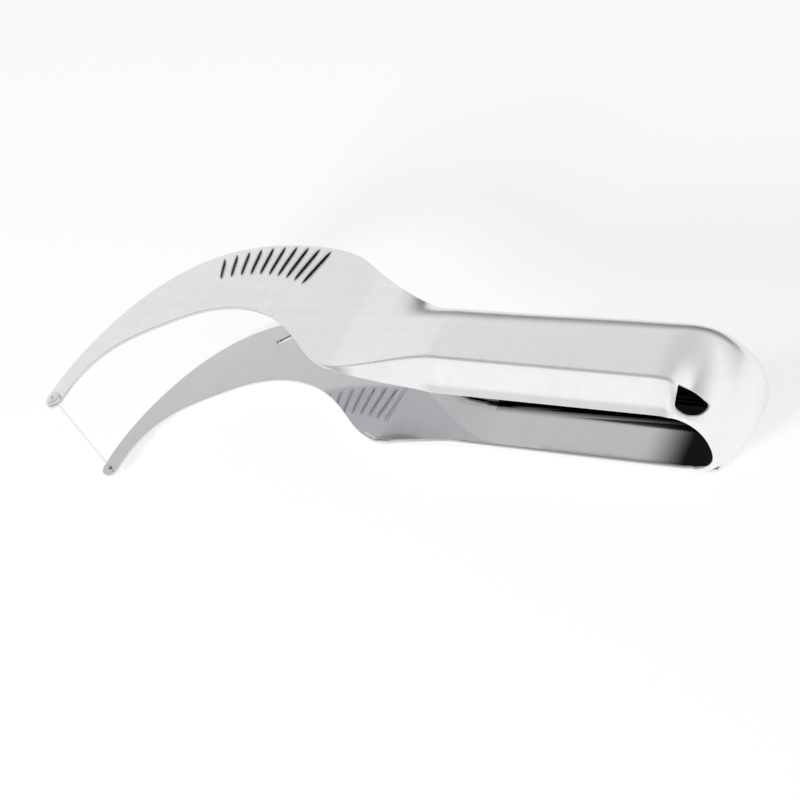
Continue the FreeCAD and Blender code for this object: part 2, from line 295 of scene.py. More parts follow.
@dataclass(frozen=True)
class Station:
    """One cross-section of the sheet: lip, lower flange, fold, side, top bend and roof."""

    inset: float
    crease: float
    fold: float
    fold_radius: float
    flange: float
    lip: float
    lip_angle: float
    bend: float
    bend_radius: float
    wall: float
    roof: float
    bowl: float = 0.0
    rim: Pair = (0.0, 0.0)

    def at(self, row: float) -> Pair:
        """Find the outer face at one row.

        Args:
            row: 0 to 1 along the lip, 1 to 2 the flange, 2 to 3 the fold, 3 to 4 the side,
                4 to 5 the top bend, 5 to 6 the roof.

        Returns:
            Depth inwards from the grip's outer face, and height above the grip's crease.
        """
        x, y = self.folded(row)
        if row < 4.0 and self.bowl > 0.0:
            t = girth(row)
            u = 1.0 - t
            x = mix(x, self.rim[0] * u * u * (u + 1.74 * t), self.bowl)
            y = mix(y, mix(-self.rim[1], self.wall, t * t * (1.5 * u + t)), self.bowl)
        return x, y

    def folded(self, row: float) -> Pair:
        """Find the outer face at one row of the folded sheet, as far as it isn't a round bowl."""
        part, t = min(int(row), 5), row - min(int(row), 5)
        fold, bend = math.radians(self.fold), math.radians(self.bend)
        reach = self.fold_radius * math.tan(fold / 2.0)
        down = (math.sin(fold), -math.cos(fold))
        if part < 2:
            run = self.flange - self.lip if part < 1 else mix(self.flange - self.lip, reach, t)
            x, y = self.inset + run * down[0], self.crease + run * down[1]
            if part < 1:
                step, turn = (1.0 - t) / 6.0, math.radians(self.lip_angle)
                for k in range(6):
                    angle = fold + turn * smooth(step * (k + 0.5), 0.0, 0.45)
                    x += self.lip * step * math.sin(angle)
                    y -= self.lip * step * math.cos(angle)
            return x, y
        if part == 2:
            angle = fold * (1.0 - t)
            return (self.inset + self.fold_radius * (1.0 - math.cos(angle)),
                    self.crease + reach - self.fold_radius * math.sin(angle))
        if part == 3:
            return self.inset, mix(self.crease + reach, self.wall, t)
        angle = bend * (t if part == 4 else 1.0)
        x = self.inset + self.bend_radius * (1.0 - math.cos(angle))
        y = self.wall + self.bend_radius * math.sin(angle)
        if part == 5:
            x += self.roof * t * math.sin(bend)
            y += self.roof * t * math.cos(bend)
        return x, y


@dataclass(frozen=True)
class ChannelForm:
    """The bent part of one half: neck, grip and half of the round tail."""

    sizes: SlicerSizes = SlicerSizes()
    neck_dip: float = 32.0
    top_fall: float = 0.58
    foot_fall: float = 0.42
    crease_dip: float = 4.8
    crease_hold: float = 0.15
    fold_run: float = 0.38
    foot_flange: float = 0.7
    sharp_fold: float = 0.3
    flange_start: float = 0.17
    flange_ease: float = 1.2
    bend_hold: float = 0.44
    flat: float = 0.02
    lip_start: float = 14.0
    lip_fade: Pair = (12.0, 24.0)
    bowl_reach: Pair = (12.0, 34.0)
    tail_bend: float = 5.2
    bend_reach: float = 40.0
    grip_share: float = 0.4
    tail_plan: float = 0.915
    rim_round: float = 0.8

    def ease_out(self, x: float, start: float, end: float, slope: float, length: float) -> float:
        """Find a height along the neck that leaves the head with a slope and then levels out.

        Args:
            x: Place along the tool.
            start: Height at the front of the neck.
            end: Height where it is level.
            slope: How steeply it falls at the front.
            length: How far behind the front it is level.

        Returns:
            The height above the grip's crease.
        """
        u = min((x - self.sizes.neck_front) / length, 1.0)
        return end + ((start - end) * (1.0 + 2.0 * u) - slope * length * u) * (1.0 - u) ** 2

    def neck(self, x: float) -> Station:
        """Cross-section of the neck, from the flat head to the channel of the grip."""
        s = self.sizes
        share = (x - s.neck_front) / s.neck_length
        settle = 0.5 * (max(share - self.crease_hold, 0.0) / (1.0 - self.crease_hold)
                        + smooth(share, self.crease_hold, 1.0))
        folded = smooth(share, 0.0, self.fold_run)
        low = self.ease_out(x, -s.neck_foot, -self.crease_dip, self.foot_fall,
                            self.crease_hold * s.neck_length)
        low += self.foot_flange * (1.0 - folded)
        edge = self.ease_out(x, s.neck_top, s.wall_height + s.top_bend, self.top_fall, self.neck_dip)
        grown = max(share - self.flange_start, 0.0) / (1.0 - self.flange_start)
        grown = 1.0 - (1.0 - grown) ** self.flange_ease
        bend = mix(self.flat, 90.0, smooth(share, self.bend_hold, 1.0))
        radius = (edge - s.wall_height) / math.sin(math.radians(bend))
        return Station(mix(s.head_inset, 0.0, settle), mix(low, 0.0, settle),
                       mix(self.flat, s.fold_angle, folded),
                       mix(self.sharp_fold, s.crease_radius, grown),
                       mix(self.foot_flange, s.lower_flange, grown), s.lip_width * grown,
                       s.lip_angle * smooth(x, self.lip_start, s.neck_back), bend, radius, s.wall_height, 0.0)

    def grip(self, run: float) -> Station:
        """Cross-section of the grip and of the tail at a length along the sheet."""
        s, angle = self.sizes, self.angle_at(run)
        lip = 1.0 - smooth(angle, *self.lip_fade)
        depth, drop = s.rim
        depth -= self.rim_round * math.sin(math.radians(2.0 * angle)) ** 2
        fold = mix(math.degrees(math.atan2(depth, drop)), s.fold_angle, lip)
        flange = mix(math.hypot(depth, drop), s.lower_flange, lip)
        crease = (flange * math.cos(math.radians(fold)) - drop) * (1.0 - lip)
        tight = mix(smooth(angle, 0.0, self.bend_reach), smooth(run, s.neck_back, s.tail_centre),
                    self.grip_share)
        radius = mix(s.top_bend, self.tail_bend, tight)
        return Station(0.0, crease, fold, s.crease_radius, flange, s.lip_width, s.lip_angle * lip, 90.0,
                       radius, s.wall_height + s.top_bend - radius, s.top_bend + s.top_flange - radius,
                       smooth(angle, *self.bowl_reach), (depth, drop))

    def angle_at(self, run: float) -> float:
        """Angle round the tail at a length along the sheet, 0 before the tail."""
        return math.degrees(max(run - self.sizes.tail_centre, 0.0) / self.sizes.middle)

    def run_at(self, angle: float) -> float:
        """Length along the sheet at an angle round the tail."""
        return self.sizes.tail_centre + math.radians(angle) * self.sizes.middle

    def station(self, run: float) -> Station:
        """Cross-section at a length along the sheet."""
        return self.neck(run) if run < self.sizes.neck_back - 1e-6 else self.grip(run)

    def point(self, run: float, row: float, station: Station | None = None) -> Vector:
        """Point of the outer face of the right half.

        Args:
            run: Length along the sheet.
            row: Row of the cross-section.
            station: The cross-section there, where it is already known.

        Returns:
            The point in the tool's frame.
        """
        s = self.sizes
        depth, height = (station or self.station(run)).at(row)
        angle = math.radians(self.angle_at(run))
        if angle <= 0.0:
            return Vector((run, s.crease + height, depth))
        radius = s.middle - depth
        plan = mix(self.tail_plan, 1.0, min(depth / s.rim[0], 1.0))
        return Vector((s.tail_centre + plan * radius * math.sin(angle), s.crease + height,
                       s.middle - radius * math.cos(angle)))


@dataclass
class SheetSkin:
    """Outer face of one half as it is drawn, before it gets its thickness."""

    sheet: float = 1.0
    edge_round: float = 0.4
    edge_reach: float = 0.2
    points: list[Vector] = field(default_factory=list)
    faces: list[tuple[int, ...]] = field(default_factory=list)
    normals: dict[int, Vector] = field(default_factory=dict)
    depths: dict[int, float] = field(default_factory=dict)
    rounds: dict[int, float] = field(default_factory=dict)
    louvre_faces: set[int] = field(default_factory=set)
    creases: set[frozenset[int]] = field(default_factory=set)
    known: dict[tuple[int, int, int], int] = field(default_factory=dict)

    def add(self, point: Vector) -> int:
        """Number of a point, the same one for points that coincide."""
        key = (round(point.x * 2000), round(point.y * 2000), round(point.z * 2000))
        if key not in self.known:
            self.known[key] = len(self.points)
            self.points.append(point.copy())
        return self.known[key]

    def face(self, corners: Sequence[int]) -> None:
        """Keep a face, without corners that fell together."""
        loop = [c for i, c in enumerate(corners) if c != corners[i - 1]]
        if len(set(loop)) > 2:
            self.faces.append(tuple(loop))

    def face_normals(self) -> list[Vector]:
        """Find the direction of each face, scaled by its area."""
        result = []
        for loop in self.faces:
            p = [self.points[i] for i in loop]
            total = Vector()
            for i in range(1, len(p) - 1):
                total += (p[i] - p[0]).cross(p[i + 1] - p[0])
            result.append(total)
        return result

    def finish_normals(self, middle: float) -> list[Vector]:
        """Find the outward direction at each point.

        Args:
            middle: Height of the plane where the halves meet.

        Returns:
            Unit directions. On the plane they lie in it, so the halves join unseen.
        """
        sums = [Vector() for _ in self.points]
        for loop, normal in zip(self.faces, self.face_normals()):
            for i in loop:
                sums[i] += normal
        result = []
        for i, total in enumerate(sums):
            normal = self.normals.get(i, total).copy()
            if abs(self.points[i].z - middle) < 1e-3:
                normal.z = 0.0
            result.append(normal.normalized())
        return result


@dataclass(frozen=True)
class PressedMark:
    """One slit with a raised side: its starting end, two directions in the plate, length and width."""

    foot: Vector
    along: Vector
    across: Vector
    length: float
    width: float


@dataclass(frozen=True)
class Louvres:
    """Ten pressed louvres near the top of the left head, and one slanted slit on the right head."""

    sizes: SlicerSizes = SlicerSizes()
    slit_back: float = 6.6
    slit_depth: float = 6.2
    slit_length: float = 8.8
    slit_tilt: float = 231.0
    slit_width: float = 2.2
    count: int = 10
    pitch: float = 3.66
    start: float = 0.4
    height: float = 1.15
    widths: Pair = (0.56, 0.95)
    skin: float = 0.5
    fan: float = 17.5
    depth: float = 16.0
    arch: float = 2.9
    short: float = 8.8
    long: float = 15.2
    steps: int = 22
    rises: int = 6

    def mark(self, behind: float, below: float, tilt: float, length: float, width: float) -> PressedMark:
        """Place one mark on the head.

        Args:
            behind: Its starting end, behind the front of the head.
            below: The same end, below the top of the head.
            tilt: Its turn from upright.
            length: Length of its slit.
            width: Width of its raised side.

        Returns:
            The mark, with its raised side forwards of an upright slit.
        """
        s, turn = self.sizes, math.radians(tilt)
        return PressedMark(Vector((s.shoulder + behind, s.crease + s.head_rise - below)),
                           Vector((math.sin(turn), math.cos(turn))),
                           Vector((-math.cos(turn), math.sin(turn))),
                           length, width)

    def marks(self, half: Half) -> list[PressedMark]:
        """Marks of one head, from the blade to the tail."""
        if half is Half.RIGHT:
            return [self.mark(self.slit_back, self.slit_depth, self.slit_tilt, self.slit_length,
                              self.slit_width)]
        marks = []
        for i in range(self.count):
            share = i / (self.count - 1.0)
            arch = self.arch * (1.0 - (2.0 * share - 1.0) ** 2)
            marks.append(self.mark(self.pitch * i - self.start, self.depth - arch,
                                   mix(-self.fan, self.fan, share),
                                   mix(self.short, self.long, share), mix(*self.widths, share)))
        return marks

    def spread(self, k: int) -> float:
        """Share of the slit's length at one step, with the steps drawn together at its ends."""
        return 0.5 - 0.5 * math.cos(math.pi * k / self.steps)

    def footprint(self, mark: PressedMark) -> tuple[list[Pair], list[Pair]]:
        """Find where one louvre leaves the flat plate.

        Args:
            mark: Its place.

        Returns:
            Points of the slit from its starting end, and of the rounded side back to that end.
        """
        slit, side = [], []
        for k in range(self.steps + 1):
            share = self.spread(k)
            point = mark.foot + mark.along * (mark.length * share)
            slit.append(tuple(point))
            swell = (1.0 - abs(2.0 * share - 1.0) ** 7) ** 0.5
            side.append(tuple(point + mark.across * (mark.width * swell)))
        return slit, side[-2:0:-1]

    def raise_on(self, skin: SheetSkin, mark: PressedMark) -> None:
        """Draw one raised louvre over its footprint.

        Args:
            skin: The skin that carries it.
            mark: Its place.
        """
        plane = self.sizes.head_inset
        slit, back = self.footprint(mark)
        side = [slit[0]] + back[::-1] + [slit[-1]]
        columns = []
        for k in range(self.steps + 1):
            a, b = Vector(slit[k]), Vector(side[k])
            lift = self.height * (1.0 - abs(2.0 * self.spread(k) - 1.0) ** 5) ** 0.6
            column = []
            for r in range(self.rises + 1):
                q = math.sin(0.5 * math.pi * r / self.rises)
                p = a.lerp(b, q)
                number = skin.add(Vector((p.x, p.y, plane - lift * (1.0 - q**2.4) ** 0.62)))
                skin.normals[number] = Vector((0, 0, -1))
                if 0 < k < self.steps and r < self.rises:
                    skin.depths[number] = self.skin
                    skin.rounds[number] = 0.07
                column.append(number)
            columns.append(column)
        for k in range(self.steps):
            for r in range(self.rises):
                skin.louvre_faces.add(len(skin.faces))
                skin.face((columns[k][r], columns[k][r + 1], columns[k + 1][r + 1], columns[k + 1][r]))
            skin.creases.add(frozenset((columns[k][-1], columns[k + 1][-1])))
        for x, y in slit:
            skin.rounds[skin.add(Vector((x, y, plane)))] = 0.07


@dataclass(frozen=True)
class HeadAndBlade:
    """Flat plate of one half: the head, its louvres, the hooked blade and the wire's hole."""

    sizes: SlicerSizes = SlicerSizes()
    blade_back: tuple[Pair, ...] = ((0.13, 0.410), (0.61, 0.819), (1.0, 0.947))
    blade_hollow: tuple[Pair, ...] = ((0.32, 0.344), (0.66, 0.498), (1.0, 0.599))
    head_top: tuple[Pair, ...] = ((0.47, 1.0), (0.76, 0.987))
    head_under: tuple[Pair, ...] = ((0.26, 0.633), (0.60, 0.574), (0.80, 0.479))
    top_fall: float = 0.58
    foot_fall: float = 0.42
    wire_hole: float = 1.5
    step: float = 1.1
    louvres: Louvres = Louvres()

    def shared(self, start: float, length: float, shares: Sequence[Pair]) -> list[Pair]:
        """Points of an outline from their shares of its length and of the whole height."""
        s = self.sizes
        return [(start + length * a, s.crease + mix(-s.tip_drop, s.head_rise, b)) for a, b in shares]

    def outline(self, neck_column: Sequence[Pair]) -> list[Pair]:
        """Draw the plate's whole edge.

        Args:
            neck_column: Points where the neck takes over, from the lower edge up.

        Returns:
            Points round the plate, from the front of the tip along the hollow of the blade.
        """
        s = self.sizes
        cx, cy = s.tip_centre
        r = s.tip_radius
        under = [(cx + r, cy)] + self.shared(s.tip, s.blade_reach, self.blade_hollow)
        under += self.shared(s.shoulder, s.head_length, self.head_under) + [neck_column[0]]
        over = [(cx - r, cy)] + self.shared(s.tip, s.blade_reach, self.blade_back)
        over += self.shared(s.shoulder, s.head_length, self.head_top) + [neck_column[-1]]
        lower = eased_curve(under, (0.0, 1.0), (1.0, -self.foot_fall), self.step)
        upper = eased_curve(over, (0.0, 1.0), (1.0, -self.top_fall), self.step)
        turn = [(cx + r * math.cos(a), cy + r * math.sin(a))
                for a in (math.pi * (1.0 + k / 14.0) for k in range(1, 14))]
        return lower[:-1] + list(neck_column) + upper[::-1][1:] + turn

    def draw_on(self, skin: SheetSkin, neck_column: Sequence[Pair], half: Half) -> None:
        """Draw the plate with its hole and louvres.

        Args:
            skin: The skin that it becomes part of.
            neck_column: Points where the neck takes over, from the lower edge up.
            half: The side of the tool that it is pressed for.
        """
        plane = self.sizes.head_inset
        cx, cy = self.sizes.tip_centre
        hole = [(cx + self.wire_hole / 2 * math.cos(k * math.pi / 12),
                 cy + self.wire_hole / 2 * math.sin(k * math.pi / 12)) for k in range(24)]
        edge = self.outline(neck_column)
        marks = self.louvres.marks(half)
        slots = [sum(self.louvres.footprint(mark), []) for mark in marks]
        loops = [edge, hole] + slots
        flat, ties = [], []
        for loop in loops:
            first = len(flat)
            flat += [Vector(p) for p in loop]
            ties += [(first + k, first + (k + 1) % len(loop)) for k in range(len(loop))]
        points, faces = triangles(flat, ties, edge, loops[1:])
        for face in faces:
            corners = [skin.add(Vector((points[i].x, points[i].y, plane))) for i in face]
            for number in corners:
                skin.normals[number] = Vector((0, 0, -1))
            skin.face(corners[::-1])
        for mark in marks:
            self.louvres.raise_on(skin, mark)


@dataclass(frozen=True)
class ReliefHole:
    """Cut-out between the end of the lower flange and the round of the tail."""

    form: ChannelForm = ChannelForm()
    outline: tuple[Pair, ...] = ((21.6, 0.462), (26.2, 0.482), (33.0, 0.486), (40.5, 0.473), (46.4, 0.46),
                                 (51.5, 0.447), (52.6, 0.392), (50.6, 0.312), (47.2, 0.25), (41.9, 0.199),
                                 (37.0, 0.168), (30.0, 0.16), (24.5, 0.152), (21.6, 0.185), (21.2, 0.27),
                                 (21.3, 0.37))
    pieces: int = 4
    top_row: float = 3.5
    first_angle: float = 13.5
    last_angle: float = 57.0

    def loop(self) -> list[Pair]:
        """Draw the hole as lengths along the sheet and rows."""
        scale, way = math.radians(self.form.sizes.middle), 28.0
        drawn = closed_curve([(a * scale, b * way) for a, b in self.outline], self.pieces)
        return [(self.form.run_at(x / scale), row_at(y / way)) for x, y in drawn]


@dataclass(frozen=True)
class HalfSheet:
    """One half of the sheet, from its blade's tip to the middle of the tail."""

    half: Half
    sizes: SlicerSizes = SlicerSizes()
    form: ChannelForm = ChannelForm()
    plate: HeadAndBlade = HeadAndBlade()
    relief: ReliefHole = ReliefHole()
    neck_steps: int = 64
    grip_step: float = 1.6
    tail_step: float = 1.5
    flex_reach: float = 23.0
    flex_start: Pair = (102.5, 22.5)
    flex_lean: float = 0.6

    def rows(self) -> list[float]:
        """Rows of the channel's grid, closest together round its bends."""
        rows = [k / 8.0 for k in range(8)] + [1.0 + k / 6.0 for k in range(6)]
        rows += [2.0 + k / 10.0 for k in range(10)] + [3.0, 3.06, 3.125] + [3.25 + k / 8.0 for k in range(6)]
        return rows + [4.0 + k / 16.0 for k in range(17)]

    def runs(self) -> list[float]:
        """Places of the channel's cross-sections along the sheet."""
        s = self.sizes
        runs = [s.neck_front + s.neck_length * k / self.neck_steps for k in range(self.neck_steps)]
        count = round(s.grip_length / self.grip_step)
        runs += [s.neck_back + s.grip_length * k / count for k in range(count)]
        return runs + [self.form.run_at(self.tail_step * k) for k in range(round(90.0 / self.tail_step) + 1)]

    def draw(self) -> SheetSkin:
        """Draw the outer face of the right half.

        Returns:
            The skin, with the plate, the channel, the roof and the relief hole.
        """
        s, form = self.sizes, self.form
        skin = SheetSkin(sheet=s.sheet)
        rows, runs = self.rows(), self.runs()
        stations = [form.station(run) for run in runs]
        front = []
        for row in rows:
            p = form.point(runs[0], row, stations[0])
            front.append((s.neck_front, round(p.y, 4)))
        self.plate.draw_on(skin, front, self.half)
        grid = [[skin.add(form.point(run, row, st)) for row in rows] for run, st in zip(runs, stations)]
        grid[0] = [skin.add(Vector((x, y, s.head_inset))) for x, y in front]
        first = min(range(len(runs)), key=lambda k: abs(runs[k] - form.run_at(self.relief.first_angle)))
        last = min(range(len(runs)), key=lambda k: abs(runs[k] - form.run_at(self.relief.last_angle)))
        top = rows.index(self.relief.top_row)
        for c in range(len(runs) - 1):
            for r in range(len(rows) - 1):
                if not (first <= c < last and r < top):
                    skin.face((grid[c][r], grid[c][r + 1], grid[c + 1][r + 1], grid[c + 1][r]))
        self.draw_relief(skin, runs[first:last + 1], rows[:top + 1])
        steps = [k / 5.0 for k in range(6)]
        back = [k for k in range(len(runs)) if runs[k] >= s.neck_back - 1e-6]
        roof = [[skin.add(form.point(runs[k], 5.0 + t, form.station(max(runs[k], s.neck_back))))
                 for t in steps] for k in back]
        for c in range(len(roof) - 1):
            for r in range(len(steps) - 1):
                skin.face((roof[c][r], roof[c][r + 1], roof[c + 1][r + 1], roof[c + 1][r]))
        return skin

    def draw_relief(self, skin: SheetSkin, runs: Sequence[float], rows: Sequence[float]) -> None:
        """Draw the part of the tail round the relief hole.

        Args:
            skin: The skin that it becomes part of.
            runs: Places of the cross-sections of that part.
            rows: Its rows.
        """
        hole = self.relief.loop()
        stretch = 2.6
        edge = [(runs[0], r) for r in rows] + [(run, rows[-1]) for run in runs[1:-1]]
        edge += [(runs[-1], r) for r in reversed(rows)] + [(run, rows[0]) for run in reversed(runs[1:-1])]
        flat = [Vector((x, r * stretch)) for x, r in edge]
        ties = [(k, (k + 1) % len(edge)) for k in range(len(edge))]
        ring = [Vector((x, r * stretch)) for x, r in hole]
        ties += [(len(flat) + k, len(flat) + (k + 1) % len(ring)) for k in range(len(ring))]
        flat += ring
        loop = [tuple(p) for p in ring]
        for run in runs[1:-1]:
            for row in rows[1:-1]:
                p = (run, row * stretch)
                if not inside(p, loop) and not near(p, loop, 0.18):
                    flat.append(Vector(p))
        points, faces = triangles(flat, ties, None, [loop])
        for face in faces:
            skin.face([skin.add(self.form.point(points[i].x, points[i].y / stretch)) for i in reversed(face)])

    def place(self, point: Vector) -> Vector:
        """Carry a point of the right half to this half, in metres."""
        z = point.z if self.half is Half.RIGHT else self.sizes.grip_width - point.z
        return Vector((point.x, point.y, z)) * MM

    def build(self) -> bpy.types.Object:
        """Build the half with its thickness and its rounded edges.

        Returns:
            The new object.
        """
        skin = self.draw()
        middle = self.sizes.middle
        normals = skin.finish_normals(middle)
        count = len(skin.points)
        points = list(skin.points)
        points += [p - normals[i] * skin.depths.get(i, skin.sheet) for i, p in enumerate(skin.points)]
        faces, zones, sharp = [], [], set()
        owner: dict[frozenset[int], list[tuple[int, int]]] = {}
        for number, loop in enumerate(skin.faces):
            louvre = number in skin.louvre_faces
            faces += [loop, tuple(i + count for i in reversed(loop))]
            # the left head's louvre hollows take the nearly black painted shade
            zones += [Zone.OUTSIDE, Zone.MOUTH_SHADE if louvre and self.half is Half.LEFT else Zone.INSIDE]
            for a, b in zip(loop, loop[1:] + loop[:1]):
                owner.setdefault(frozenset((a, b)), []).append((a, b))
        for pair in skin.creases:
            sharp |= {pair, frozenset(i + count for i in pair)}
        rims = [turns[0] for turns in owner.values() if len(turns) == 1]
        rims = [(a, b) for a, b in rims
                if abs(points[a].z - middle) > 1e-3 or abs(points[b].z - middle) > 1e-3]
        away: dict[int, Vector] = {}
        for a, b in rims:
            for i in (a, b):
                out = (points[b] - points[a]).normalized().cross(normals[i])
                away[i] = away.get(i, Vector()) + out
        rings: dict[int, list[int]] = {}
        for i, out in away.items():
            if abs(points[i].z - middle) < 1e-3:
                out.z = 0.0
            out = out.normalized() if out.length > 0.3 else Vector()
            r = skin.rounds.get(i, skin.edge_round)
            out *= min(skin.edge_reach / r, 1.0)
            ring = [i]
            for turn in (40.0, 90.0):
                a = math.radians(turn)
                points.append(points[i] + out * (r * math.sin(a)) - normals[i] * (r * (1 - math.cos(a))))
                ring.append(len(points) - 1)
            for turn in (90.0, 40.0):
                a = math.radians(turn)
                points.append(points[i + count] + out * (r * math.sin(a))
                              + normals[i] * (r * (1 - math.cos(a))))
                ring.append(len(points) - 1)
            rings[i] = ring + [i + count]
        for a, b in rims:
            for k in range(5):
                faces.append((rings[b][k], rings[a][k], rings[a][k + 1], rings[b][k + 1]))
                zones.append(Zone.EDGE)
            sharp |= {frozenset((a, b)), frozenset((a + count, b + count))}
        if self.half is Half.LEFT:
            faces = [tuple(reversed(loop)) for loop in faces]
        return self.finish_mesh([self.place(p) for p in points], faces, zones, sharp)

    def finish_mesh(self, points: Sequence[Vector], faces: Sequence[tuple[int, ...]], zones: Sequence[Zone],
                    sharp: set[frozenset[int]]) -> bpy.types.Object:
        """Turn points and faces into the object, smooth all over but for its edges.

        Args:
            points: Places in metres.
            faces: Corners of each face.
            zones: Finish of each face.
            sharp: Pairs of points whose edge stays sharp.

        Returns:
            The new object.
        """
        mesh = bpy.data.meshes.new(f"{self.half.name.lower()}_half")
        mesh.from_pydata(points, [], faces)
        mesh.validate()
        mesh.polygons.foreach_set("material_index", [zone.value for zone in zones])
        mesh.polygons.foreach_set("use_smooth", [True] * len(mesh.polygons))
        for edge in mesh.edges:
            edge.use_edge_sharp = frozenset(edge.vertices) in sharp
        mesh.update()
        plane = self.sizes.middle * MM
        normals = [n.vector.copy() for n in mesh.corner_normals]
        for k, loop in enumerate(mesh.loops):
            if abs(mesh.vertices[loop.vertex_index].co.z - plane) < 2e-6:
                normals[k].z = 0.0
                normals[k].normalize()
        mesh.normals_split_custom_set(normals)
        obj = bpy.data.objects.new(f"sheet_{self.half.name.lower()}_half", mesh)
        bpy.context.scene.collection.objects.link(obj)
        return obj

    def join(self, obj: bpy.types.Object) -> None:
        """Bake the half's place into its mesh, and stand for the solids that it replaces."""
        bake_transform(obj)
        if self.half is Half.RIGHT:
            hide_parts("right_arm", "tail_spring")
        else:
            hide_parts("left_arm")


class NodeBench:
    """Small helper that lays shader nodes and ties them together."""

    def __init__(self, name: str) -> None:
        """Start a material with its surface shader.

        Args:
            name: Name of the material.
        """
        self.material = bpy.data.materials.new(name)
        self.material.use_nodes = True
        self.tree = self.material.node_tree
        self.shader = self.tree.nodes["Principled BSDF"]
        self.place = self.add("ShaderNodeTexCoord").outputs["Object"]

    def add(self, kind: str, **values: object) -> bpy.types.Node:
        """Lay a node and set its values.

        Args:
            kind: Type of the node.
            values: Attributes of the node, or defaults of its inputs by name.

        Returns:
            The new node.
        """
        node = self.tree.nodes.new(kind)
        for key, value in values.items():
            if key in node.inputs:
                node.inputs[key].default_value = value
            else:
                setattr(node, key, value)
        return node

    def tie(self, source: bpy.types.NodeSocket, target: bpy.types.NodeSocket) -> None:
        """Tie an output to an input."""
        self.tree.links.new(source, target)

    def noise(self, scale: float, detail: float,
              stretch: tuple[float, float, float] = (1, 1, 1)) -> bpy.types.NodeSocket:
        """Noise over the object.

        Args:
            scale: Fineness in turns per metre.
            detail: Number of finer layers.
            stretch: How much finer it is along each axis.

        Returns:
            The noise from 0 to 1.
        """
        mapping = self.add("ShaderNodeMapping", Scale=stretch)
        self.tie(self.place, mapping.inputs["Vector"])
        texture = self.add("ShaderNodeTexNoise", Scale=scale, Detail=detail, Roughness=0.55)
        self.tie(mapping.outputs["Vector"], texture.inputs["Vector"])
        return texture.outputs["Fac"]

    def ramp(self, source: bpy.types.NodeSocket, low: float, high: float, start: float = 0.3,
             end: float = 0.7) -> bpy.types.NodeSocket:
        """Turn noise into a number between two values.

        Args:
            source: The noise.
            low: Number at the start.
            high: Number at the end.
            start: Noise that gives the low number.
            end: Noise that gives the high number.

        Returns:
            The number.
        """
        node = self.add("ShaderNodeMapRange", **{"From Min": start, "From Max": end,
                                                 "To Min": low, "To Max": high})
        self.tie(source, node.inputs["Value"])
        return node.outputs["Result"]

    def fade(self, axis: str, start: float, end: float, high: float = 1.0) -> bpy.types.NodeSocket:
        """Number that eases from one value to another along an axis.

        Args:
            axis: Name of the axis.
            start: Where it starts to change, in millimetres.
            end: Where it ends.
            high: Number before the start, 0 or 1. The other one follows the end.

        Returns:
            The number.
        """
        split = self.add("ShaderNodeSeparateXYZ")
        self.tie(self.place, split.inputs["Vector"])
        node = self.add("ShaderNodeMapRange", interpolation_type="SMOOTHSTEP",
                        **{"From Min": start * MM, "From Max": end * MM,
                           "To Min": high, "To Max": 1.0 - high})
        self.tie(split.outputs[axis], node.inputs["Value"])
        return node.outputs["Result"]

    def reckon(self, operation: str, *sources: bpy.types.NodeSocket | float) -> bpy.types.NodeSocket:
        """Reckon with numbers.

        Args:
            operation: Name of the operation.
            sources: The numbers.

        Returns:
            The result.
        """
        node = self.add("ShaderNodeMath", operation=operation)
        for source, target in zip(sources, node.inputs):
            if isinstance(source, float):
                target.default_value = source
            else:
                self.tie(source, target)
        return node.outputs[0]

    def bump(self, source: bpy.types.NodeSocket, height: float,
             under: bpy.types.NodeSocket | None = None) -> bpy.types.NodeSocket:
        """Raise the surface by a height.

        Args:
            source: Height from 0 to 1.
            height: Height of 1 in metres.
            under: Surface that it lies on.

        Returns:
            The new surface.
        """
        node = self.add("ShaderNodeBump", Strength=1.0, Distance=height)
        self.tie(source, node.inputs["Height"])
        if under is not None:
            self.tie(under, node.inputs["Normal"])
        return node.outputs["Normal"]


